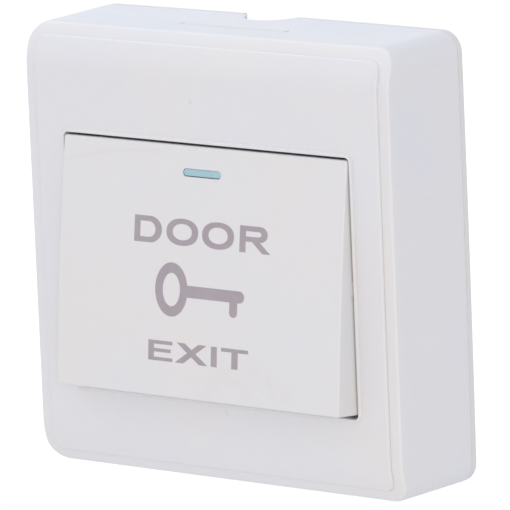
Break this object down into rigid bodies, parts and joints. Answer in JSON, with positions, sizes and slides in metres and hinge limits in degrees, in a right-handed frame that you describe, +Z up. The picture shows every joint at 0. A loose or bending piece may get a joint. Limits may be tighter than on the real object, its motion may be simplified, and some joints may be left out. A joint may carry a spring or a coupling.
{
  "type": "door exit button",
  "caption": "Square surface-mounted door exit push switch: deep moulded box, raised front cover and a wide tilted rocker paddle that springs back, with a changeover switch inside.",
  "frame": {"origin": "middle of the back plate's rear face, which lies on the wall", "axes": "+Z up the wall, +X to the right as the user faces it, +Y into the wall, so the front faces -Y"},
  "size_m": [0.0864, 0.0299, 0.0863],
  "materials": {
    "white_shell": "satin moulded ABS, cool white",
    "white_cover": "satin moulded ABS, cool white",
    "white_rocker": "satin moulded ABS, cool white, grey printed legend",
    "white_plate": "plain moulded ABS, slightly greyer white",
    "blue_green_insert": "luminous blue-green plastic",
    "nylon_yoke": "grey nylon",
    "phenolic": "black phenolic moulding",
    "natural_nylon": "uncoloured nylon",
    "bronze": "rolled phosphor bronze strip",
    "silver_contact": "silver alloy contact rivet",
    "brass": "stamped brass strip",
    "plated_steel": "zinc plated steel",
    "spring_steel": "drawn spring wire"
  },
  "bodies": {
    "housing": {"housing_shell": "white_shell", "back_plate": "white_plate", "front_cover": "white_cover", "mounting_yoke": "nylon_yoke", "switch_base": "phenolic", "switch_cover": "phenolic", "common_strip": "brass", "closed_contact_strip": "brass", "open_contact_strip": "brass", "closed_contact_rivet": "silver_contact", "open_contact_rivet": "silver_contact", "terminal_clamp_common": "plated_steel", "terminal_clamp_closed": "plated_steel", "terminal_clamp_open": "plated_steel", "terminal_screw_common": "plated_steel", "terminal_screw_closed": "plated_steel", "terminal_screw_open": "plated_steel", "base_screw_left": "plated_steel", "base_screw_right": "plated_steel", "yoke_screw_1": "plated_steel", "yoke_screw_2": "plated_steel", "yoke_screw_3": "plated_steel", "yoke_screw_4": "plated_steel", "plate_screw_1": "plated_steel", "plate_screw_2": "plated_steel", "plate_screw_3": "plated_steel", "plate_screw_4": "plated_steel", "rocker_spring_left": "spring_steel", "rocker_spring_right": "spring_steel", "blade_spring": "spring_steel"},
    "rocker": {"rocker": "white_rocker", "indicator_insert": "blue_green_insert"},
    "plunger": {"plunger": "natural_nylon"},
    "blade": {"moving_blade": "bronze", "blade_contact": "silver_contact"}
  },
  "joints": [
    {"name": "rocker_hinge", "type": "hinge", "parent": "housing", "child": "rocker", "pos_m": [0, -0.0218, -0.0025], "axis": [1, 0, 0], "range_deg": [0, 8], "stiffness_Nm_per_rad": 0.215, "springref_deg": -8.02, "deforming": ["rocker_spring_left", "rocker_spring_right"]},
    {"name": "plunger_slide", "type": "slide", "parent": "housing", "child": "plunger", "axis": [0, 1, 0], "range_m": [0, 0.0018]},
    {"name": "blade_hinge", "type": "hinge", "parent": "housing", "child": "blade", "pos_m": [-0.0128, -0.00865, -0.01417], "axis": [0, 0, 1], "range_deg": [0, 7.6], "deforming": ["blade_spring"]}
  ],
  "couplings": [
    {"joint": "plunger_slide", "follows": "rocker_hinge", "m_per_rad": 0.01168},
    {"joint": "blade_hinge", "follows": "rocker_hinge", "ratio": 0.912}
  ]
}
